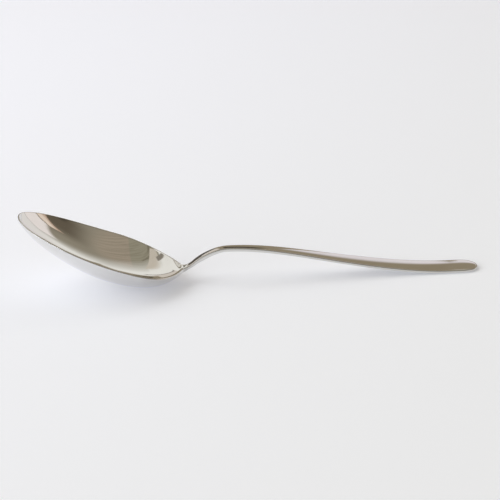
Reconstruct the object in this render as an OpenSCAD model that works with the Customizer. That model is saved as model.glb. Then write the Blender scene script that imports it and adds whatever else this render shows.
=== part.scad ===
// A stainless steel serving spoon, lying as it rests on a table.
//
// The spoon runs along X, from the tip of the bowl at -X to the end of the handle at +X.
// The table is z = 0: the underside of the bowl and the flat of the handle touch it.
// Distances "from the tip" are measured along X. The body of the spoon is a row of
// closed sections, one at each station along X, and each section is worked out from
// the outline seen from above, the side line of the edge and the thickness.

/* [Overall] */
// Length of the spoon from the tip of the bowl to the end of the handle
overall_length = 242; // [215:1:270]

/* [Bowl] */
// Length of the bowl, from its tip to the root of the neck
bowl_length = 84; // [76:1:92]
// Width of the bowl at its widest
bowl_width = 60; // [48:1:72]
// Depth of the underside below the rim, at its deepest
bowl_depth = 16; // [12:0.5:20]
// Thickness of the metal at the bottom of the bowl
bowl_wall = 1.8; // [1.5:0.1:2.2]
// Width of the flat land along the top of the rim
rim_land = 1.4; // [1.1:0.1:1.8]
// Height of the rim's outer face at the tip
rim_face = 1.2; // [0.9:0.1:1.6]

/* [Side line] */
// How far the rim falls from the tip of the bowl to its widest place
tip_fall = 21.6; // [18:0.2:25]
// How far the rim falls from the widest place to the root of the neck
waist_fall = 9.9; // [8.5:0.1:11]
// How far the edge climbs from the root to the middle of the neck
neck_climb = 5.4; // [4.5:0.1:6.5]
// How far the edge climbs from the middle of the neck to the top of the arch
arch_climb = 4.4; // [3.5:0.1:6]
// Height of the edge above the table, halfway down the handle
blade_height = 9.1; // [8:0.1:10]

/* [Handle] */
// Width of the neck at its narrowest
neck_width = 4.8; // [4:0.1:8]
// Width of the handle near its end
handle_width = 16.4; // [12:0.1:22]
// Radius of the handle's rounded end, along the spoon
end_round = 9.5; // [6:0.1:14]
// Thickness of the neck
neck_thick = 2.9; // [2:0.1:4]
// Thickness at the top of the arch
arch_thick = 2; // [1.6:0.1:3]
// Thickness of the flat part of the handle
blade_thick = 1.7; // [1.4:0.1:3]
// Rise of the crown along the middle of the handle's top
crown = 0.45; // [0.2:0.05:0.9]
// Width of the flat margin along both top edges of the handle
margin = 0.8; // [0.6:0.1:1.4]
// Radius that takes the sharpness off every top edge
edge_round = 0.3; // [0.2:0.05:0.5]

/* [Stations along the spoon] */
// From the root of the neck to the join between the bowl and the handle
join_reach = 3.5; // [2:0.1:6]
// From the root of the neck to the middle of the neck
neck_reach = 9; // [7.5:0.1:11]
// From the root of the neck to the top of the arch
arch_reach = 23; // [20:0.5:28]
// Length of the handle's end that rests on the table
rest_length = 14; // [13:1:42]

/* [Hidden] */

// Where the bowl is widest and deepest, as shares of its length
widest_share = 0.596;
deepest_share = 0.5;
// The hollow and the underside run out just past the root
runout_share = 1.04;
// The root of the neck begins to thicken and to lose the bowl's section here
root_start_share = 0.93;

// How full the outline is towards the tip and towards the neck
tip_fullness = 2.1;
neck_fullness = 2.36;
neck_draw = 0.73;
// How full the keel is towards the tip and towards the neck
keel_tip_fullness = 1.76;
keel_neck_fullness = 2.3;
// How full the bowl is from side to side, and how square the handle's lower edges are
bowl_fullness = 2.22;
handle_squareness = 6;
// The handle's underside is flat where its section would pass this share of its full depth
flat_share = 0.97;
// How closely the bowl's outline turns into the neck's
fillet_sharpness = 2.6;
// Plan shape of the handle's end, and how late the handle widens
end_fullness = 2.2;
handle_flare = 0.85;

// Slopes of the side line, rise over run
tip_slope = -0.466;
waist_slope = -0.344;
root_slope = -0.07;
neck_slope = 0.53;
blade_slope = -0.19;

// Where the stations lie, from the tip of the bowl
waist_station = widest_share * bowl_length;
join_station = bowl_length + join_reach;
neck_station = bowl_length + neck_reach;
arch_station = bowl_length + arch_reach;
rest_station = overall_length - rest_length;
blade_station = (arch_station + rest_station) / 2;

// The section changes from bowl to handle over this stretch
change_start = root_start_share * bowl_length;
change_end = arch_station;

// Half sizes and places that follow
half_bowl = bowl_width / 2;
half_neck = neck_width / 2;
half_handle = handle_width / 2;
mid_length = overall_length / 2;

// The side line: from the tip, height of the edge, slope.
// Up to the arch it is built up from the height of the root.
function side_line(root) = [
    [0, root + waist_fall + tip_fall, tip_slope],
    [waist_station, root + waist_fall, waist_slope],
    [bowl_length, root, root_slope],
    [neck_station, root + neck_climb, neck_slope],
    [arch_station, root + neck_climb + arch_climb, 0],
    [blade_station, blade_height, blade_slope],
    [rest_station, blade_thick, 0],
    [overall_length, blade_thick, 0]
];

// Thickness below the edge: from the tip, height of the side face
face_line = [
    [0, rim_face],
    [change_start, rim_face],
    [neck_station, neck_thick],
    [arch_station, arch_thick],
    [blade_station, blade_thick],
    [overall_length, blade_thick]
];

// Stations per piece, and steps across half a section
bowl_stations = 46;
handle_stations = 46;
half_steps = 10;
// Stations crowd towards the tip of the bowl
tip_crowding = 1.7;
// The first and last sections stand just inside the very tip and the very end
first_share = 0.0003;
last_share = 0.9999;
// Where a section is too narrow for its land, these shares of its half width bound it
least_inner_share = 0.5;
least_outer_share = 0.75;

// Where the sections stand, from the tip
bowl_row = [for (i = [0:bowl_stations])
    mix(first_share * bowl_length, join_station, power(i / bowl_stations, tip_crowding))];
handle_row = [for (i = [0:handle_stations])
    mix(join_station, last_share * overall_length, (1 - cos(180 * i / handle_stations)) / 2)];

function clamp(v, low, high) = min(max(v, low), high);
function ease(t) = let (c = clamp(t, 0, 1)) c * c * (3 - 2 * c);
function mix(a, b, t) = a + (b - a) * t;
function power(v, n) = v <= 0 ? 0 : pow(v, n);

// A quarter of a rounded curve: 0 at t = 1, 1 at t = 0
function quarter(t, fullness) = power(1 - power(clamp(t, 0, 1), fullness), 1 / fullness);

// Height on one smooth stretch of the side line between two of its rows
function stretch(a, b, x) =
    let (run = b[0] - a[0], t = (x - a[0]) / run)
    (2 * t * t * t - 3 * t * t + 1) * a[1] + (t * t * t - 2 * t * t + t) * run * a[2]
    + (3 * t * t - 2 * t * t * t) * b[1] + (t * t * t - t * t) * run * b[2];

function row_before(rows, x, i = 0) =
    i >= len(rows) - 2 || x < rows[i + 1][0] ? i : row_before(rows, x, i + 1);

// Height of the edge above the table, for a root at a given height
function edge_from(root, x) =
    let (rows = side_line(root), i = row_before(rows, x)) stretch(rows[i], rows[i + 1], x);

// The bowl comes down until its underside touches the table, which settles the height of the root
root_height = -min([for (x = bowl_row) edge_from(0, x) - under_depth(x)]);
function edge_height(x) = edge_from(root_height, x);

// Height of the side face below the edge
function face(x) =
    let (i = row_before(face_line, x), a = face_line[i], b = face_line[i + 1])
    mix(a[1], b[1], ease((x - a[0]) / (b[0] - a[0])));

// Half width of the bowl's own outline, drawn in by an inset all round
function bowl_half(x, inset) =
    let (to_tip = waist_station - inset, to_neck = bowl_length - inset - waist_station)
    (half_bowl - inset) * (x < waist_station
        ? quarter((waist_station - x) / to_tip, tip_fullness)
        : power(1 - power(clamp((x - waist_station) / to_neck, 0, 1), neck_fullness), neck_draw));

// Half width of the handle's own outline, with its rounded end
function handle_half(x, inset) =
    (mix(half_neck, half_handle, ease(power(clamp((x - neck_station) / (rest_station - neck_station), 0, 1),
        handle_flare))) - inset)
    * quarter((x - overall_length + end_round) / (end_round - inset), end_fullness);

// Half width of the spoon: the two outlines run into each other with a fillet
function half_width(x, inset = 0) =
    x < waist_station ? bowl_half(x, inset)
    : power(power(bowl_half(x, inset), fillet_sharpness)
        + power(handle_half(x, inset), fillet_sharpness), 1 / fillet_sharpness);

// Depth of a bowl-shaped keel below the edge, with its tip drawn in by an inset
function keel(x, depth, inset) =
    let (deepest = deepest_share * bowl_length, runout = runout_share * bowl_length - inset)
    depth * (x < deepest
        ? quarter((deepest - x) / (deepest - inset), keel_tip_fullness)
        : 1 - power(clamp((x - deepest) / (runout - deepest), 0, 1), keel_neck_fullness));

// Depth of the underside, and of the hollow, below the edge in the middle of the spoon
function under_depth(x) = norm([keel(x, bowl_depth, 0), face(x)]);
function hollow_depth(x) = keel(x, bowl_depth - bowl_wall, rim_land) - crown_rise(x);
function crown_rise(x) =
    crown * ease((x - bowl_length) / (arch_station - bowl_length)) * half_width(x) / half_handle;

// How far the section has changed from the bowl's into the handle's: 0 to 1
function change(x) = ease((x - change_start) / (change_end - change_start));

// One point of the underside, for an angle of -90 at the left edge to 90 at the right
function under_point(x, angle) =
    let (side = sin(angle), b = change(x), squash = 2 / handle_squareness,
         across = mix(abs(side), power(abs(side), squash), b),
         down = mix(1 - power(abs(side), bowl_fullness), min(1, power(cos(angle), squash) / flat_share), b),
         top = edge_height(x) - edge_round)
    [x - mid_length, sign(side) * across * half_width(x), top - down * (under_depth(x) - edge_round)];

// One point of the top, inside the land, for a share of -1 at the left to 1 at the right
function top_point(x, share) =
    [x - mid_length, share * inner_half(x),
     edge_height(x) - hollow_depth(x) * (1 - power(abs(share), mix(bowl_fullness, 2, change(x))))];
function inner_half(x) =
    max(half_width(x, mix(rim_land, margin, change(x))), half_width(x) * least_inner_share);

// Half width out to the rounding of the top edge
function outer_half(x) = max(half_width(x) - edge_round, half_width(x) * least_outer_share);

// The closed section at one station: the underside, then the right edge, the top and the left edge
function section(x) = concat(
    [for (i = [-half_steps:half_steps]) under_point(x, 90 * i / half_steps)],
    [[x - mid_length, outer_half(x), edge_height(x)]],
    [for (i = [half_steps:-1:-half_steps]) top_point(x, sin(90 * i / half_steps))],
    [[x - mid_length, -outer_half(x), edge_height(x)]]);
ring = 4 * half_steps + 4;

// Triangles that close a section: strips between the underside and the top, then both edges
left_top = ring - 2;
right_low = 2 * half_steps;
cap_triangles = concat(
    [for (i = [0:right_low - 1]) each [[i, i + 1, left_top - i - 1], [i, left_top - i - 1, left_top - i]]],
    [[0, left_top, ring - 1], [right_low, right_low + 1, right_low + 2]]);

// A closed solid through the sections at a row of stations
module loft(stations) {
    last = len(stations) - 1;
    points = [for (x = stations) each section(x)];
    walls = [for (i = [0:last - 1], j = [0:ring - 1])
        let (a = i * ring + j, b = i * ring + (j + 1) % ring)
        each [[a, b + ring, b], [a, a + ring, b + ring]]];
    caps = [for (t = cap_triangles) each [t, [for (k = [2:-1:0]) last * ring + t[k]]]];
    polyhedron(points = points, faces = concat(walls, caps), convexity = 6);
}

// The hollow that holds the food, with its rim, up to the join in the neck
module bowl() {
    color([0.78, 0.77, 0.75]) loft(bowl_row);
}

// The neck, the arch and the flat of the handle
module handle() {
    color([0.72, 0.71, 0.68]) loft(handle_row);
}

bowl();
handle();
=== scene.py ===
# %% [markdown]
# # A polished serving spoon
#
# The real spoon is one piece of stainless steel. A flat blank is stamped out, the bowl is pressed
# into it, the neck and the arch are bent, and the whole is ground and buffed until it is a mirror.
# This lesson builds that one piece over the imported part, gives it a mirror finish with the small
# marks of use, and lights it so that the mirror has something to show.
#
# A mirror has hardly any colour of its own. What it shows is the shape of its surface and the room
# round it, so the two long steps below are the surface and the light.

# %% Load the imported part
import inspect
import math
from types import SimpleNamespace

import bpy
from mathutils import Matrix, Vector


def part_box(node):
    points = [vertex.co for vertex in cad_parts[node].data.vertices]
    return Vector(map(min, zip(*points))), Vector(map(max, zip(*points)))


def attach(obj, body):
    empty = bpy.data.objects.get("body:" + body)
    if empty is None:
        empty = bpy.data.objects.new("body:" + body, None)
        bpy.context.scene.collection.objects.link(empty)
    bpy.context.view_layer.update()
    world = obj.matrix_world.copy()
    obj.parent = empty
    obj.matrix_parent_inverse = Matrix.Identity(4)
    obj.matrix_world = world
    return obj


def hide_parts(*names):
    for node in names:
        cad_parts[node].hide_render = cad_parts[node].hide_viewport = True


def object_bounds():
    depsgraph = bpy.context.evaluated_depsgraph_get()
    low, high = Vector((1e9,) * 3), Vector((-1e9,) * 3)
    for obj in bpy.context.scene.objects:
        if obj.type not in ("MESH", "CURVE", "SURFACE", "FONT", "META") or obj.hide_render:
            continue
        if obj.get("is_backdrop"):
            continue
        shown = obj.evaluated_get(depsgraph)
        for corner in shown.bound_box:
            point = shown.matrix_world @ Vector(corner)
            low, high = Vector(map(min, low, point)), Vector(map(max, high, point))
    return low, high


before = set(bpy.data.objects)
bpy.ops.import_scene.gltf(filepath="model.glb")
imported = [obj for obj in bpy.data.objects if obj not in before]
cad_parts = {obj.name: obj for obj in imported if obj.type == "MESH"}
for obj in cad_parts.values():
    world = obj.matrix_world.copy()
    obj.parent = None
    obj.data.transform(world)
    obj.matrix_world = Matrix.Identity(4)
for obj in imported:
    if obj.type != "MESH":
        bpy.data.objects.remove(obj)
cad_low, cad_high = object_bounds()
mm = 0.001
print("CAD box in mm:", [round(v / mm, 2) for v in cad_high - cad_low])

# %% [markdown]
# ## The sizes of the spoon
#
# The length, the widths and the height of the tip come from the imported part, so the looks follow it.
# The other sizes are the ones that a spoon maker gives: how deep the bowl is, how thick the metal is,
# how wide the land along the rim is, and where the neck and the arch stand.

# %% Sizes
bowl_low, bowl_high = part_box("bowl")
handle_low, handle_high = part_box("handle")

sizes = SimpleNamespace(
    overall_length=handle_high.x - bowl_low.x,
    bowl_length=84 * mm,
    bowl_width=bowl_high.y - bowl_low.y,
    bowl_depth=16 * mm,
    bowl_wall=1.8 * mm,
    rim_land=1.4 * mm,
    rim_face=1.2 * mm,
    tip_fall=21.6 * mm,
    waist_fall=9.9 * mm,
    neck_climb=5.4 * mm,
    arch_climb=4.4 * mm,
    blade_height=9.1 * mm,
    neck_width=4.8 * mm,
    handle_width=handle_high.y - handle_low.y,
    end_round=9.5 * mm,
    neck_thick=2.9 * mm,
    arch_thick=2.0 * mm,
    blade_thick=1.7 * mm,
    crown=0.45 * mm,
    margin=0.8 * mm,
    edge_round=0.42 * mm,
    join_reach=3.5 * mm,
    neck_reach=9.0 * mm,
    arch_reach=23.0 * mm,
    rest_length=14.0 * mm,
)
sizes.root_height = bowl_high.z - sizes.tip_fall - sizes.waist_fall
print("root of the neck stands", round(sizes.root_height / mm, 2), "mm above the table")

# %% [markdown]
# ## Formulas that nodes can work out
#
# A spoon is all curves that run into each other, so its surface follows formulas better than it
# follows a cage of a few points: a cage gives soft dents that a mirror would show at once. Geometry
# Nodes can work a formula out on a grid, but its math nodes are hard to read in long chains. The
# class Field builds those nodes from ordinary sums, so the formula stays readable in the script. The
# steel and the room further down use it too. The class Formula keeps each formula as a node group of
# its own, which a bigger tree uses as one node.

# %% A number that nodes work out


class Field:
    """A value that a node tree works out for each point or direction. A sum with it adds a math node."""

    def __init__(self, tree, socket):
        self.tree = tree
        self.socket = socket

    def __add__(self, other):
        return work("ADD", self, other)

    def __radd__(self, other):
        return work("ADD", other, self)

    def __sub__(self, other):
        return work("SUBTRACT", self, other)

    def __rsub__(self, other):
        return work("SUBTRACT", other, self)

    def __mul__(self, other):
        return work("MULTIPLY", self, other)

    def __rmul__(self, other):
        return work("MULTIPLY", other, self)

    def __truediv__(self, other):
        return work("DIVIDE", self, other)

    def __rtruediv__(self, other):
        return work("DIVIDE", other, self)


def plug(tree, value, pin):
    """Links a field to a pin, or sets the pin to a plain number."""
    if isinstance(value, Field):
        tree.links.new(value.socket, pin)
    else:
        pin.default_value = value


def work(operation, *values):
    """One math node on plain numbers and fields."""
    tree = next(v.tree for v in values if isinstance(v, Field))
    node = tree.nodes.new("ShaderNodeMath")
    node.operation = operation
    for pin, value in zip(node.inputs, values):
        plug(tree, value, pin)
    return Field(tree, node.outputs[0])


# %% A formula kept as a node group
def label(name):
    """A size's name, as its socket shows it."""
    return name.replace("_", " ").capitalize()


class Formula:
    """A function of named sizes, built once as a node group with one input for each size."""

    def __init__(self, function):
        self.names = list(inspect.signature(function).parameters)
        self.tree = bpy.data.node_groups.new(function.__name__, "GeometryNodeTree")
        self.tree.interface.new_socket(name="Value", in_out="OUTPUT", socket_type="NodeSocketFloat")
        for name in self.names:
            self.tree.interface.new_socket(name=label(name), in_out="INPUT", socket_type="NodeSocketFloat")
        given = self.tree.nodes.new("NodeGroupInput")
        made = self.tree.nodes.new("NodeGroupOutput")
        fields = {name: Field(self.tree, pin) for name, pin in zip(self.names, given.outputs)}
        plug(self.tree, function(**fields), made.inputs[0])
        print("formula", function.__name__, "takes", len(self.tree.nodes), "nodes")

    def __call__(self, s, **given):
        """Uses the formula in the tree of the sizes s, with some values given by name."""
        node = s.tree.nodes.new("GeometryNodeGroup")
        node.node_tree = self.tree
        for name, pin in zip(self.names, node.inputs):
            plug(s.tree, given[name] if name in given else getattr(s, name), pin)
        return Field(s.tree, node.outputs[0])


# %% Small tools for the formulas
def least(a, b):
    return work("MINIMUM", a, b)


def most(a, b):
    return work("MAXIMUM", a, b)


def share_of(v):
    """v, kept from 0 to 1."""
    return least(most(v, 0), 1)


def power(v, n):
    """v to the power n, with v kept from going below 0."""
    return work("POWER", most(v, 0), n)


def mix(a, b, t):
    """a at t = 0, b at t = 1, and in a straight line between."""
    return a + (b - a) * t


def ease(t):
    """t, kept from 0 to 1, with a soft start and a soft end."""
    c = share_of(t)
    return c * c * (3 - 2 * c)


def quarter(t, fullness):
    """A quarter of a rounded curve: 1 at t = 0, 0 at t = 1."""
    return power(1 - power(share_of(t), fullness), 1 / fullness)


def sine(quarters):
    """The sine of a share of a quarter turn."""
    return work("SINE", quarters * (math.pi / 2))


def cosine(quarters):
    return work("COSINE", quarters * (math.pi / 2))


def chosen(a, b, if_less, if_not):
    """if_less where a is less than b, and if_not elsewhere."""
    less = work("LESS_THAN", a, b)
    return less * if_less + (1 - less) * if_not


# %% [markdown]
# ## The lines that draw the spoon
#
# Three lines say most of it. The side line is the edge seen from the side: it falls from the tip of
# the bowl to the root of the neck, climbs over the arch and comes down to the table. The outline is
# the edge seen from above. The keel is the line along the bottom of the bowl.
#
# They could be drawn by hand as curves. Written as formulas they follow the sizes above, so a longer
# bowl or a higher arch needs no new drawing, and they are as smooth as the press leaves the metal.

# %% The side line
tip_slope = -0.466
waist_slope = -0.344
root_slope = -0.07
neck_slope = 0.53
blade_slope = -0.19


def stretch(x, a, b):
    """Height on one smooth stretch between two rows of place, height and slope."""
    run = b[0] - a[0]
    t = share_of((x - a[0]) / run)
    tt = t * t
    ttt = tt * t
    start = (2 * ttt - 3 * tt + 1) * a[1] + (ttt - 2 * tt + t) * run * a[2]
    return start + (3 * tt - 2 * ttt) * b[1] + (ttt - tt) * run * b[2]


@Formula
def edge_height(
    x, root_height, waist_fall, tip_fall, waist, bowl_length, neck_climb, neck, arch_climb, arch,
    blade_height, blade, blade_thick, rest
):
    waist_height = root_height + waist_fall
    neck_height = root_height + neck_climb
    rows = [
        (0, waist_height + tip_fall, tip_slope),
        (waist, waist_height, waist_slope),
        (bowl_length, root_height, root_slope),
        (neck, neck_height, neck_slope),
        (arch, neck_height + arch_climb, 0),
        (blade, blade_height, blade_slope),
        (rest, blade_thick, 0),
    ]
    height = blade_thick
    for a, b in zip(reversed(rows[:-1]), reversed(rows[1:])):
        height = chosen(x, b[0], stretch(x, a, b), height)
    return height


# %% The height of the side face, below the edge
@Formula
def side_face(x, rim_face, change_start, neck, neck_thick, arch, arch_thick, blade, blade_thick):
    face = rim_face
    for start, end, value in (
        (change_start, neck, neck_thick),
        (neck, arch, arch_thick),
        (arch, blade, blade_thick),
    ):
        face = mix(face, value, ease((x - start) / (end - start)))
    return face


# %% The outline, seen from above
tip_fullness = 2.1
neck_fullness = 2.36
neck_draw = 0.73
end_fullness = 2.2
handle_flare = 0.85
fillet_sharpness = 2.6


@Formula
def half_width(
    x, waist, bowl_length, bowl_width, neck, rest, overall_length, end_round, neck_width, handle_width
):
    """The outline of the bowl and that of the handle run into each other with a fillet."""
    to_tip = quarter((waist - x) / waist, tip_fullness)
    to_neck = power(1 - power(share_of((x - waist) / (bowl_length - waist)), neck_fullness), neck_draw)
    bowl = bowl_width * 0.5 * chosen(x, waist, to_tip, to_neck)
    widening = ease(power(share_of((x - neck) / (rest - neck)), handle_flare))
    end = quarter((x - overall_length + end_round) / end_round, end_fullness)
    handle = mix(neck_width, handle_width, widening) * 0.5 * end
    past_waist = 1 - work("LESS_THAN", x, waist)
    joined = power(bowl / mm, fillet_sharpness) + past_waist * power(handle / mm, fillet_sharpness)
    return power(joined, 1 / fillet_sharpness) * mm


# %% The keel, drawn in at both ends by an inset
keel_tip_fullness = 1.76
keel_neck_fullness = 2.3


@Formula
def keel(x, depth, inset, deepest, runout):
    to_tip = quarter((deepest - x) / (deepest - inset), keel_tip_fullness)
    to_neck = 1 - power(share_of((x - deepest) / (runout - inset - deepest)), keel_neck_fullness)
    return depth * chosen(x, deepest, to_tip, to_neck)


# %% [markdown]
# ## From the lines to a surface
#
# A grid of points is bent into one half of the spoon. One way of the grid runs along the spoon, and
# is crowded at the tip and at the end, where the outline turns. The other way goes round half a
# section: from the keel, out along the underside, round the edge, in over the narrow land of the rim
# and down into the hollow. Round the edge a point moves square to the outline, so the land turns with
# it at the tip. The half is then mirrored, welded and eased a little along the rim.
#
# Curves could be lofted into a skin instead, but its rows would not meet the rim squarely, and a
# mirror shows that as a ripple along the edge.

# %% Where the rows of points stand
bowl_rows = 200
handle_rows = 220
rows = bowl_rows + handle_rows


@Formula
def place_along(u, join, overall_length):
    split = bowl_rows / rows
    in_bowl = share_of(u / split)
    in_handle = share_of((u - split) / (1 - split))
    return join * (1 - cosine(in_bowl)) + (overall_length - join) * sine(in_handle)


# %% Steps round half a section
under_steps = 44
edge_steps = 10
land_steps = 12
top_steps = 44
section_steps = under_steps + edge_steps + land_steps + top_steps
print("one half of the spoon takes", rows, "by", section_steps, "faces")


def part_of(v, start, steps):
    """How far round a part of the section v has come, for the steps before it and its own."""
    return share_of((v * section_steps - start) / steps)


# %% One point of the surface
tip_land_share = 0.36
bowl_land_share = 0.72
tip_land_reach = 0.16
land_rise = 0.12
neck_land_rise = 0.24
bowl_fullness = 2.22
hollow_narrow_start = 0.76
hollow_narrow_fullness = 1.7
handle_squareness = 6
crown_fullness = 2
middle_crown = 0.8
end_crown = 1.25
flat_share = 0.97
nudge_share = 0.4 / rows
rim_start_share = 0.36
rim_end_share = 0.62
rim_fade_share = 0.04
tip_easing = 0.4


def section_point(s, u, v):
    """Place, half width and height of one point, and how near the rim it is."""
    x = place_along(s, u=u)
    wide = half_width(s, x=x)
    x_before = place_along(s, u=share_of(u - nudge_share))
    x_after = place_along(s, u=share_of(u + nudge_share))
    run = x_after - x_before
    rise = half_width(s, x=x_after) - half_width(s, x=x_before)
    length = work("SQRT", run * run + rise * rise)

    under = part_of(v, 0, under_steps)
    edge = part_of(v, under_steps, edge_steps)
    flat = part_of(v, under_steps + edge_steps, land_steps)
    top = part_of(v, under_steps + edge_steps + land_steps, top_steps)

    handle_like = ease((x - s.change_start) / (s.arch - s.change_start))
    past_tip = ease(x / (s.bowl_length * tip_land_reach))
    bowl_land = s.rim_land * mix(tip_land_share, bowl_land_share, past_tip)
    land = mix(bowl_land, s.margin, handle_like)
    inward = s.edge_round * (1 - cosine(edge)) + (land - s.edge_round) * flat
    place = x + inward * rise / length
    half = most(wide - inward * run / length, 0)

    side = sine(under)
    across = mix(side, power(side, 2 / handle_squareness), handle_like)
    down_bowl = 1 - power(side, bowl_fullness)
    down_handle = least(1, power(cosine(under), 2 / handle_squareness) / flat_share)
    down = mix(down_bowl, down_handle, handle_like)
    inner = cosine(top)
    narrowing = ease((x / s.bowl_length - hollow_narrow_start) / (1 - hollow_narrow_start))
    hollow_fullness = mix(bowl_fullness, hollow_narrow_fullness, narrowing)
    rise_in = 1 - power(inner, mix(hollow_fullness, crown_fullness, handle_like))

    keel_depth = keel(s, x=place, depth=s.bowl_depth, inset=0)
    face = side_face(s, x=place)
    under_depth = work("SQRT", keel_depth * keel_depth + face * face)
    crown_share = mix(middle_crown, end_crown, ease((place - s.blade) / (s.rest - s.blade)))
    crown_start = ease((place - s.bowl_length) / (s.arch - s.bowl_length))
    crown_rise = s.crown * crown_share * crown_start * 2 * wide / s.handle_width
    hollow_inset = s.rim_land * tip_land_share
    hollow = keel(s, x=place, depth=s.bowl_depth - s.bowl_wall, inset=hollow_inset) - crown_rise
    height = edge_height(s, x=place) - s.edge_round * (1 - sine(edge))
    rise_rate = mix(land_rise, neck_land_rise, narrowing) * (1 - handle_like)
    height = height + rise_rate * (land - s.edge_round) * flat
    height = height - down * (under_depth - s.edge_round) - hollow * rise_in
    rim = ease((v - rim_start_share) / rim_fade_share) * (1 - ease((v - rim_end_share) / rim_fade_share))
    rim = rim * mix(tip_easing, 1, past_tip)
    return place - s.overall_length * 0.5, half * across * inner, height, rim


# %% A tree and its links
def tree_node(tree, kind, **values):
    """Adds a node and sets its inputs by name, to a number or to the output of another node."""
    node = tree.nodes.new(kind)
    for name, value in values.items():
        pin = node.inputs[name.replace("_", " ")]
        if isinstance(value, bpy.types.NodeSocket):
            tree.links.new(value, pin)
        else:
            pin.default_value = value
    return node


widest_share = 0.596
deepest_share = 0.5
runout_share = 1.04
root_start_share = 0.93


def given_sizes(tree):
    """The sizes as fields of this tree, each with a named input, and the places that follow."""
    pins = {}
    for name in vars(sizes):
        pin = tree.interface.new_socket(name=label(name), in_out="INPUT", socket_type="NodeSocketFloat")
        pins[name] = pin.identifier
    given = tree.nodes.new("NodeGroupInput")
    s = SimpleNamespace(tree=tree)
    for name, socket in zip(pins, given.outputs):
        setattr(s, name, Field(tree, socket))
    s.waist = s.bowl_length * widest_share
    s.deepest = s.bowl_length * deepest_share
    s.runout = s.bowl_length * runout_share
    s.change_start = s.bowl_length * root_start_share
    s.join = s.bowl_length + s.join_reach
    s.neck = s.bowl_length + s.neck_reach
    s.arch = s.bowl_length + s.arch_reach
    s.rest = s.overall_length - s.rest_length
    s.blade = (s.arch + s.rest) * 0.5
    return s, pins


# %% The whole tree
weld_distance = 0.0003 * mm
rim_easing = 6


def spoon_tree(material):
    """Bends the grid, mirrors and welds it, eases its rim, and gives it its material."""
    tree = bpy.data.node_groups.new("spoon_surface", "GeometryNodeTree")
    tree.interface.new_socket(name="Geometry", in_out="OUTPUT", socket_type="NodeSocketGeometry")
    s, pins = given_sizes(tree)

    grid = tree_node(tree, "GeometryNodeMeshGrid", Size_X=rows, Size_Y=section_steps,
                     Vertices_X=rows + 1, Vertices_Y=section_steps + 1)
    grid_place = tree_node(tree, "GeometryNodeInputPosition").outputs[0]
    apart = tree_node(tree, "ShaderNodeSeparateXYZ", Vector=grid_place)
    u = work("ROUND", Field(tree, apart.outputs["X"]) + rows / 2) / rows
    v = work("ROUND", Field(tree, apart.outputs["Y"]) + section_steps / 2) / section_steps
    x, y, z, rim = section_point(s, u, v)

    marked = tree_node(tree, "GeometryNodeStoreNamedAttribute", Geometry=grid.outputs["Mesh"],
                       Name="rim", Value=rim.socket)
    point = tree_node(tree, "ShaderNodeCombineXYZ", X=x.socket, Y=y.socket, Z=z.socket)
    half = tree_node(tree, "GeometryNodeSetPosition", Geometry=marked.outputs[0], Position=point.outputs[0])

    turned = tree_node(tree, "GeometryNodeTransform", Geometry=half.outputs[0], Scale=(1, -1, 1))
    outward = tree_node(tree, "GeometryNodeFlipFaces", Mesh=half.outputs[0])
    both = tree_node(tree, "GeometryNodeJoinGeometry", Geometry=turned.outputs[0])
    tree.links.new(outward.outputs[0], both.inputs[0])
    welded = tree_node(tree, "GeometryNodeMergeByDistance", Geometry=both.outputs[0], Distance=weld_distance)

    nearness = tree_node(tree, "GeometryNodeInputNamedAttribute", Name="rim")
    here = tree_node(tree, "GeometryNodeInputPosition")
    eased = tree.nodes.new("GeometryNodeBlurAttribute")
    eased.data_type = "FLOAT_VECTOR"
    eased.inputs["Iterations"].default_value = rim_easing
    tree.links.new(here.outputs[0], next(i for i in eased.inputs if i.name == "Value" and i.enabled))
    tree.links.new(nearness.outputs["Attribute"], eased.inputs["Weight"])
    softened = tree_node(tree, "GeometryNodeSetPosition", Geometry=welded.outputs[0],
                         Position=next(o for o in eased.outputs if o.enabled))

    smooth = tree_node(tree, "GeometryNodeSetShadeSmooth", Geometry=softened.outputs[0])
    real = tree_node(tree, "GeometryNodeRealizeInstances", Geometry=smooth.outputs[0])
    painted = tree_node(tree, "GeometryNodeSetMaterial", Geometry=real.outputs[0], Material=material)
    made = tree.nodes.new("NodeGroupOutput")
    tree.links.new(painted.outputs[0], made.inputs[0])
    return tree, pins
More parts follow.
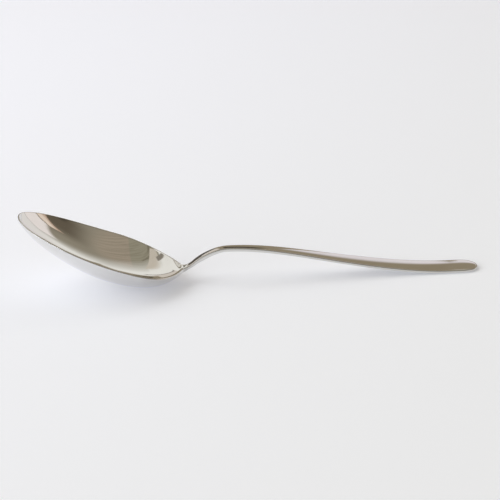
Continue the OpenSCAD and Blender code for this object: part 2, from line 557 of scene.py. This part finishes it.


# %% [markdown]
# ## The steel
#
# Buffed stainless steel is a mirror with a slightly warm grey tint, but never a perfect one. The press
# leaves long, very shallow streaks along the spoon. The buffing wheel leaves hair lines along it.
# Table use adds a few fine scratches that cross each other, a faint haze where hands and cloths touch it,
# and a rim that is duller where it knocks against plates. The rim is also painted darker, partly as wear and
# partly as painted shade for the dark line that it reflects. All of it is far too small to model, so the
# material carries it: as height for a Bump node, as roughness, and as a little colour.
#
# Every mark is noise in the spoon's own coordinates, drawn out along one way. The marks of a polished
# thing are subtle: heights of a thousandth of a millimetre already bend a reflection.

# %% A node group for noise that is drawn out along one way
def marks_group():
    """Built once. It puts out noise from 0 to 1 in spots of one size, drawn out to a length."""
    group = bpy.data.node_groups.new("drawn_out_marks", "ShaderNodeTree")
    group.interface.new_socket(name="Place", in_out="INPUT", socket_type="NodeSocketVector")
    for name in ("Size", "Length", "Turn", "Detail"):
        group.interface.new_socket(name=name, in_out="INPUT", socket_type="NodeSocketFloat")
    group.interface.new_socket(name="Mark", in_out="OUTPUT", socket_type="NodeSocketFloat")
    given = group.nodes.new("NodeGroupInput").outputs
    spot_size = tree_node(group, "ShaderNodeCombineXYZ", X=given["Length"], Y=given["Size"], Z=given["Size"])
    turned = tree_node(group, "ShaderNodeCombineXYZ", Z=given["Turn"])
    spread = tree_node(group, "ShaderNodeMapping", Vector=given["Place"],
                       Rotation=turned.outputs[0], Scale=spot_size.outputs[0])
    # Of the mapping kinds, only TEXTURE turns the place before it divides it by the scale.
    spread.vector_type = "TEXTURE"
    noise = tree_node(group, "ShaderNodeTexNoise", Vector=spread.outputs[0],
                      Scale=1.0, Detail=given["Detail"])
    result = group.nodes.new("NodeGroupOutput")
    group.links.new(noise.outputs[0], result.inputs["Mark"])
    return group


drawn_out_marks = marks_group()
print("the marks group takes", len(drawn_out_marks.nodes), "nodes")


def marks(tree, place, size, length, turn=0.0, detail=1.0):
    """The group in a material's tree, with its own values: the length lies along X, then is turned."""
    node = tree.nodes.new("ShaderNodeGroup")
    node.node_tree = drawn_out_marks
    tree.links.new(place, node.inputs["Place"])
    for name, value in (("Size", size), ("Length", length), ("Turn", turn), ("Detail", detail)):
        node.inputs[name].default_value = value
    return Field(tree, node.outputs["Mark"])


# %% A smooth step
def soft_step(v, start, end):
    """0 up to the start, 1 from the end, and smooth between."""
    return ease((v - start) / (end - start))


# %% The marks on the steel
steel = bpy.data.materials.new("polished_steel")
steel.use_nodes = True
metal = steel.node_tree
place = metal.nodes.new("ShaderNodeTexCoord").outputs["Object"]
rim = Field(metal, tree_node(metal, "ShaderNodeAttribute").outputs["Fac"])
rim.socket.node.attribute_name = "rim"

# Each row is a turn in radians, a size and a length in millimetres.
scratch_rows = [(0.4, 0.10, 11), (-0.7, 0.08, 8), (1.3, 0.09, 6), (2.4, 0.07, 9)]
scratch_start, scratch_end = 0.74, 0.80
nick_start, nick_end = 0.5, 0.7

press_streaks = marks(metal, place, size=1.9 * mm, length=70 * mm)
press_waves = marks(metal, place, size=11 * mm, length=16 * mm)
hair_lines = marks(metal, place, size=0.22 * mm, length=9 * mm, detail=2)
haze = marks(metal, place, size=14 * mm, length=22 * mm, turn=0.5, detail=4)
scratches = 0
for turn, size, length in scratch_rows:
    line = marks(metal, place, size=size * mm, length=length * mm, turn=turn, detail=0)
    scratches = scratches + soft_step(line, scratch_start, scratch_end)
nick_spots = marks(metal, place, size=0.5 * mm, length=0.8 * mm, detail=2)
nicks = rim * soft_step(nick_spots, nick_start, nick_end)
print("the steel has", len(scratch_rows), "layers of scratches")

# %% Height of the marks, in millimetres
streak_height = 0.0016
wave_height = 0.0045
hair_height = 0.00012
scratch_height = 0.0004
nick_height = 0.002

relief = press_streaks * streak_height + press_waves * wave_height + hair_lines * hair_height
relief = relief - scratches * scratch_height - nicks * nick_height
print("the widest waves in the steel stand up to", wave_height, "mm high")
bump = tree_node(metal, "ShaderNodeBump", Height=relief.socket, Strength=1.0, Distance=1 * mm)

# %% Roughness of the steel
haze_start, haze_end = 0.45, 0.75
mirror_roughness = 0.022
haze_roughness = 0.05
hair_roughness = 0.012
scratch_roughness = 0.06
rim_roughness = 0.035

dull = mirror_roughness + soft_step(haze, haze_start, haze_end) * haze_roughness
dull = dull + hair_lines * hair_roughness + share_of(scratches) * scratch_roughness + rim * rim_roughness
print("clean steel has a roughness of", mirror_roughness)

# %% Colour of the steel
tint_start, tint_end = 0.4, 0.7
clean_tint = (0.760, 0.749, 0.730)
hazy_tint = (0.722, 0.708, 0.685)
# The darker rim tint is partly wear and partly painted shade, which darkens the line along the rim.
worn_tint = (0.492, 0.482, 0.460)
rim_wear = 0.5


def blended(tree, mask, first, second):
    """A colour that goes from the first to the second as the mask goes from 0 to 1."""
    blend = tree_node(tree, "ShaderNodeMix")
    blend.data_type = "RGBA"
    plug(tree, mask, blend.inputs[0])
    for pin, colour in ((blend.inputs[6], first), (blend.inputs[7], second)):
        if isinstance(colour, bpy.types.NodeSocket):
            tree.links.new(colour, pin)
        else:
            pin.default_value = (*colour, 1)
    return blend.outputs[2]


tint = blended(metal, soft_step(haze, tint_start, tint_end), clean_tint, hazy_tint)
# Painted darker along the rim: partly wear, partly painted shade.
tint = blended(metal, rim * rim_wear, tint, worn_tint)

shader = metal.nodes["Principled BSDF"]
shader.inputs["Metallic"].default_value = 1
metal.links.new(tint, shader.inputs["Base Color"])
metal.links.new(bump.outputs[0], shader.inputs["Normal"])
plug(metal, dull, shader.inputs["Roughness"])
print("the steel takes", len(metal.nodes), "nodes")

# %% [markdown]
# ## Making the spoon
#
# The tree is put on an empty object and its inputs are set by their identifiers before Blender works
# it out for the first time. Then the surface is kept as a plain mesh and the modifier goes. It could
# stay live, but the frame's tools need real triangles, and a plain mesh loads fast.
#
# The real spoon is one piece of steel, so one surface stands in for both of its solids.

# %% Make the spoon
spoon = bpy.data.objects.new("spoon", bpy.data.meshes.new("spoon"))
bpy.context.scene.collection.objects.link(spoon)
tree, pins = spoon_tree(steel)
modifier = spoon.modifiers.new("surface", "NODES")
modifier.node_group = tree
for name, identifier in pins.items():
    modifier[identifier] = getattr(sizes, name)
bpy.context.view_layer.update()
worked_out = spoon.evaluated_get(bpy.context.evaluated_depsgraph_get())
spoon.data = bpy.data.meshes.new_from_object(worked_out)
spoon.data.name = "spoon"
spoon.modifiers.clear()
print("nodes:", len(tree.nodes), "points:", len(spoon.data.vertices), "faces:", len(spoon.data.polygons))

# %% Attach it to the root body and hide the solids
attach(spoon, "root")
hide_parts("bowl", "handle")
print("the spoon rides on root and stands in for the bowl and the handle")

# %% [markdown]
# ## The table
#
# A sheet of matt white paper or board, large enough to have no edge in the picture. It is a little cooler
# and lighter far left, where the window is, and a little greyer near right. That fall of light could come
# from the lamp alone, but a lamp that is soft enough is also too even, so part of it is painted light and
# shade in the paper's colour, with a faint mottle in it. A weak glow stands for the light that a white room
# throws back from all sides, which fills the shadows.

# %% Make the table
floor_reach = 6.0
corners = [(-1, -1), (1, -1), (1, 1), (-1, 1)]
floor_mesh = bpy.data.meshes.new("table_top")
floor_mesh.from_pydata([(x * floor_reach, y * floor_reach, 0) for x, y in corners], [], [(0, 1, 2, 3)])
floor = bpy.data.objects.new("table_top", floor_mesh)
bpy.context.scene.collection.objects.link(floor)
print("the table reaches", floor_reach, "metres each way")

# %% The paper
# The paper's colour runs from lighter far left to greyer near right: painted light and shade for the fall of
# light.
far_left_tone = (0.805, 0.803, 0.872)
near_right_tone = (0.738, 0.737, 0.752)
fill_tone = (0.95, 0.98, 1.04)
fill_strength = 0.24
tone_start, tone_end = -0.55, 0.35
tone_slant = 0.7
mottle_share = 0.08
paper_roughness = 0.7
fibre_height = 0.01

paper = bpy.data.materials.new("pale_table")
paper.use_nodes = True
sheet = paper.node_tree
spot = sheet.nodes.new("ShaderNodeTexCoord").outputs["Object"]
apart = tree_node(sheet, "ShaderNodeSeparateXYZ", Vector=spot)
across = Field(sheet, apart.outputs["X"]) - Field(sheet, apart.outputs["Y"]) * tone_slant
mottle = marks(sheet, spot, size=2 * mm, length=3 * mm, detail=3)
fibres = marks(sheet, spot, size=0.12 * mm, length=0.5 * mm, turn=0.8, detail=2)
nearness = share_of(soft_step(across, tone_start, tone_end) + (mottle - 0.5) * mottle_share)
# Painted fall of light across the paper, with a random mottle in it.
tone = blended(sheet, nearness, far_left_tone, near_right_tone)
nap = tree_node(sheet, "ShaderNodeBump", Height=(fibres * fibre_height).socket, Distance=1 * mm)
top = sheet.nodes["Principled BSDF"]
sheet.links.new(tone, top.inputs["Base Color"])
sheet.links.new(nap.outputs[0], top.inputs["Normal"])
plug(sheet, (mottle - 0.5) * mottle_share + paper_roughness, top.inputs["Roughness"])
top.inputs["Emission Color"].default_value = (*fill_tone, 1)
top.inputs["Emission Strength"].default_value = fill_strength
floor_mesh.materials.append(paper)
floor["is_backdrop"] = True
print("the paper takes", len(sheet.nodes), "nodes")

# %% [markdown]
# ## The room that the mirror shows
#
# A mirror has no look of its own: the spoon shows the room, bent. The middle of the hollow shows a
# brown ceiling. Its end at the neck shows a wide window on the left. Its end at the tip shows a pale
# screen low on the right, and the dark side of the room. The neck and the handle show a brown cupboard
# beyond the spoon, and the underside shows the table. Walls and lamps could be modelled, but a mirror
# needs only the light that comes from each direction, and that takes far less to work out. So the room
# is painted in the world, in soft shapes. Most are placed by compass bearing and by height above
# the table, both in degrees. Bearing 0 lies along +Y, away from the camera, and 90 is to the right.
#
# Near the zenith bearings run together, so the ceiling is painted in steps east and north for each
# step up, which makes a straight edge of a ceiling a straight line.

# %% Tools for painting the room
room_world = bpy.data.worlds.new("room")
bpy.context.scene.world = room_world
room_world.use_nodes = True
room = room_world.node_tree
wall = (0.345, 0.31, 0.24)
canvas = SimpleNamespace(light=wall, layers=0)


def fading(v, start, end):
    """1 up to the start, 0 from the end, and smooth between."""
    return 1 - soft_step(v, start, end)


def band(v, low, high, soft):
    """1 between low and high, with an edge that is soft on both sides of it."""
    return soft_step(v, low - soft, low + soft) * fading(v, high - soft, high + soft)


def paint(colour, *masks):
    """Lays a colour over the room so far, where all the masks are 1."""
    where = masks[0]
    for mask in masks[1:]:
        where = where * mask
    canvas.light = blended(room, where, canvas.light, colour)
    canvas.layers = canvas.layers + 1


# %% Colours of the room, as the light that each part sends
near_side = (0.20, 0.19, 0.17)
right_ceiling = (0.44, 0.373, 0.288)
left_ceiling = (0.375, 0.348, 0.262)
ceiling_light = (0.71, 0.645, 0.55)
ceiling_shade = (0.245, 0.22, 0.16)
doorway = (0.03, 0.025, 0.02)
low_right = (0.19, 0.165, 0.13)
dark_corner = (0.155, 0.128, 0.092)
window_light = (1.02, 1.01, 0.96)
far_window = (1.08, 1.05, 0.99)
lower_pane = (0.80, 0.735, 0.66)
window_bar = (0.38, 0.345, 0.32)
window_post = (0.31, 0.28, 0.235)
low_window = (5.0, 5.2, 5.6)
shade = (0.12, 0.105, 0.09)
cupboard = (0.335, 0.283, 0.20)
cupboard_gap = (0.09, 0.075, 0.055)
low_wall = (0.88, 0.83, 0.85)
low_screen = (0.93, 0.90, 0.87)
pink_screen = (1.03, 0.96, 0.93)
screen_frame = (0.50, 0.46, 0.44)
panel_shade = (0.62, 0.45, 0.34)
panel_light = (0.98, 0.83, 0.70)

# %% Directions in the room
least_up = 0.05
overhead_start, overhead_end = 48, 60
window_slant = 0.45
light_shift, light_slant = 0.27, 0.6

facing = room.nodes.new("ShaderNodeTexCoord").outputs["Generated"]
direction = tree_node(room, "ShaderNodeSeparateXYZ", Vector=facing)
east, north, up = (Field(room, direction.outputs[axis]) for axis in "XYZ")
bearing = work("ARCTAN2", east, north) * math.degrees(1)
height = work("ARCSINE", up) * math.degrees(1)
over_east = east / most(up, least_up)
over_north = north / most(up, least_up)
overhead = soft_step(height, overhead_start, overhead_end)
to_window = over_north - over_east * window_slant
light_edge = over_east + light_shift - over_north * light_slant

# %% The ceiling and the dark right side
# Each line lays one colour inside a range of bearing and height, or of steps east and north.
paint(near_side, soft_step(work("ABSOLUTE", bearing), 114, 142), fading(height, 40, 62))
paint(left_ceiling, overhead, fading(over_east, 0.285, 0.305))
paint(right_ceiling, overhead, soft_step(over_east, 0.285, 0.305))
paint(dark_corner, band(bearing, 72, 104, 10), band(height, 22, 47, 7))
paint(low_right, band(bearing, 84, 130, 8), fading(height, 8, 22))
paint(doorway, band(bearing, 92, 118, 3), band(height, 15, 38, 3))
paint(ceiling_shade, band(light_edge, 0, 0.10, 0.03), fading(over_north, -0.18, -0.02), overhead)

# %% Faint boards across the ceiling, and a dark line across it
board_lines, board_waves = 27, 1.6
board_start, board_end = 0.42, 0.68
board_strength = 0.5

boards = tree_node(room, "ShaderNodeCombineXYZ", X=(to_window * board_lines).socket,
                   Y=(over_east * board_waves).socket)
grain = tree_node(room, "ShaderNodeTexNoise", Vector=boards.outputs[0], Scale=1.0, Detail=2.0)
board_mask = soft_step(Field(room, grain.outputs[0]), board_start, board_end)
paint(ceiling_shade, board_mask * board_strength, overhead)
paint(ceiling_shade, band(to_window, 0.12, 0.17, 0.015), fading(over_east, 0, 0.12), overhead)

# %% The window: its glow on the ceiling, its bright panes, a bar, a post and a duller lower pane
glow_start, glow_reach = 0.13, 0.72

glow = share_of((to_window - glow_start) / glow_reach)
paint(window_light, glow, soft_step(bearing, -62, -50), fading(bearing, 39, 61))
lit = fading(light_edge, -0.02, 0.02) * band(over_north, -0.18, 0.55, 0.02)
paint(ceiling_light, lit, soft_step(height, 56, 59))
paint(window_light, band(bearing, -78, -2, 3), soft_step(height, 19, 21), fading(height, 52, 66))
paint(lower_pane, band(bearing, -46, -3, 3), band(height, 20, 41, 0.6))
paint(window_bar, band(bearing, -46, 8, 3), band(height, 40.8, 42.8, 0.5))
paint(window_light, band(bearing, -132, -77, 2), band(height, 18, 54, 1.5))
paint(far_window, band(bearing, -113, -90, 1.5), band(height, 42, 55, 1.5))
post = band(over_north, 0.08, 0.22, 0.015) * fading(over_east, -0.54, -0.47)
paint(window_post, post, soft_step(over_east, -1.2, -0.9))

# %% Shade under the window, a cupboard beyond the spoon, and a low bright window on the near left
paint(shade, band(bearing, -66, 0, 2), fading(height, 18, 20))
paint(cupboard, band(bearing, -5.5, 33, 1.2), fading(height, 35, 39))
paint(cupboard_gap, band(bearing, 1, 14.5, 0.8), band(height, 21.5, 34, 1))
paint(low_wall, band(bearing, 15.0, 60, 0.4), fading(height, 12, 20))
paint(low_window, band(bearing, -152, -108, 3), fading(height, 17.5, 20.5))

# %% Low on the right: a pale screen with a frame, and a lit panel behind it
screen_edge = 74.5 - power((height - 21) / 12, 2) * 6
past_edge = bearing - screen_edge
on_screen = fading(past_edge, -0.5, 0.3)
paint(low_screen, soft_step(bearing, 27, 36), on_screen, fading(height, 15, 33))
pink_start = bearing - 55 + power(share_of((height - 14) / 10), 2) * 5
paint(pink_screen, soft_step(pink_start, -0.5, 0.5), on_screen, fading(height, 29, 33))
paint(screen_frame, band(pink_start, -0.4, 0.4, 0.5), band(height, 2, 27, 2))
panel_middle = 75 - (height - 30) * 0.33
panel = (39.3 - height) * 0.53 - work("ABSOLUTE", bearing - panel_middle)
past_frame = soft_step(past_edge, 0.8, 1.6)
paint(panel_shade, soft_step(panel, -0.8, 0.6), past_frame)
paint(panel_light, soft_step(panel, -0.4, 1.0), fading(past_edge, 4.5, 9), past_frame)

# %% Light the world with it
room_strength = 0.935
sky = room.nodes["Background"]
room.links.new(canvas.light, sky.inputs["Color"])
sky.inputs["Strength"].default_value = room_strength
print("the room has", canvas.layers, "layers of paint")

# %% [markdown]
# ## The soft light
#
# The shadow under the bowl is soft and lies a little to the right, so the main light is large and
# comes from the left. A small lamp would draw a hard edge, so a wide disc of light makes it. The
# mirror must not show the disc, because the painted room already holds the window, so glossy rays
# pass it by.

# %% Make the light
lamp_size = 2.4
lamp_power = 30
lamp_colour = (0.90, 0.955, 1.0)
lamp_bearing = math.radians(-80)
lamp_height = math.radians(38)
lamp_distance = 2.2


def pointing(bearing, height):
    """A direction of length 1, for a bearing from +Y towards +X and a height above the table."""
    level = math.cos(height)
    return Vector((math.sin(bearing) * level, math.cos(bearing) * level, math.sin(height)))


lamp_data = bpy.data.lights.new("soft_light", "AREA")
lamp_data.shape = "DISK"
lamp_data.size = lamp_size
lamp_data.energy = lamp_power
lamp_data.color = lamp_colour
lamp = bpy.data.objects.new("soft_light", lamp_data)
bpy.context.scene.collection.objects.link(lamp)
lamp.location = pointing(lamp_bearing, lamp_height) * lamp_distance
lamp.rotation_mode = "QUATERNION"
lamp.rotation_quaternion = lamp.location.to_track_quat("Z", "Y")
lamp.visible_glossy = False
print("the lamp stands at", [round(v, 2) for v in lamp.location], "metres")

# %% [markdown]
# ## The camera
#
# It stands in front of the spoon, a little above it and a little to the left, with a long lens, which
# keeps the two ends of the spoon at nearly one size. Its place was found by fitting the outline of the
# solids to the photograph. A small shift of the lens places the spoon in the frame without turning the
# camera, so that upright lines would stay upright.

# %% Make the camera
camera_bearing = math.radians(180 + 7.64)
camera_height = math.radians(20.76)
camera_distance = 0.8
camera_aim = Vector((-2.95 * mm, 0, 6.76 * mm))
sensor_width = 36
lens_length = 109.7
frame_pixels = 500
shift_right, shift_up = 2 / frame_pixels, 16 / frame_pixels
clip_near, clip_far = 0.05, 50

camera_data = bpy.data.cameras.new("camera")
camera = bpy.data.objects.new("camera", camera_data)
bpy.context.scene.collection.objects.link(camera)
bpy.context.scene.camera = camera
back = pointing(camera_bearing, camera_height)
camera.location = camera_aim + back * camera_distance
camera.rotation_mode = "QUATERNION"
camera.rotation_quaternion = (-back).to_track_quat("-Z", "Y")
camera_data.sensor_width = sensor_width
camera_data.lens = lens_length
camera_data.shift_x = shift_right
camera_data.shift_y = shift_up
camera_data.clip_start = clip_near
camera_data.clip_end = clip_far
bpy.context.scene.view_settings.view_transform = "Standard"
print("the camera stands at", [round(v, 3) for v in camera.location], "metres")

# %% [markdown]
# ## The sizes of the two models
#
# The solids and the surface must be the same spoon. The box of each is written out, so that they can be
# compared.

# %% Write the boxes
visual_low, visual_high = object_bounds()
print("visual box in mm:", [round(v / mm, 2) for v in visual_high - visual_low])
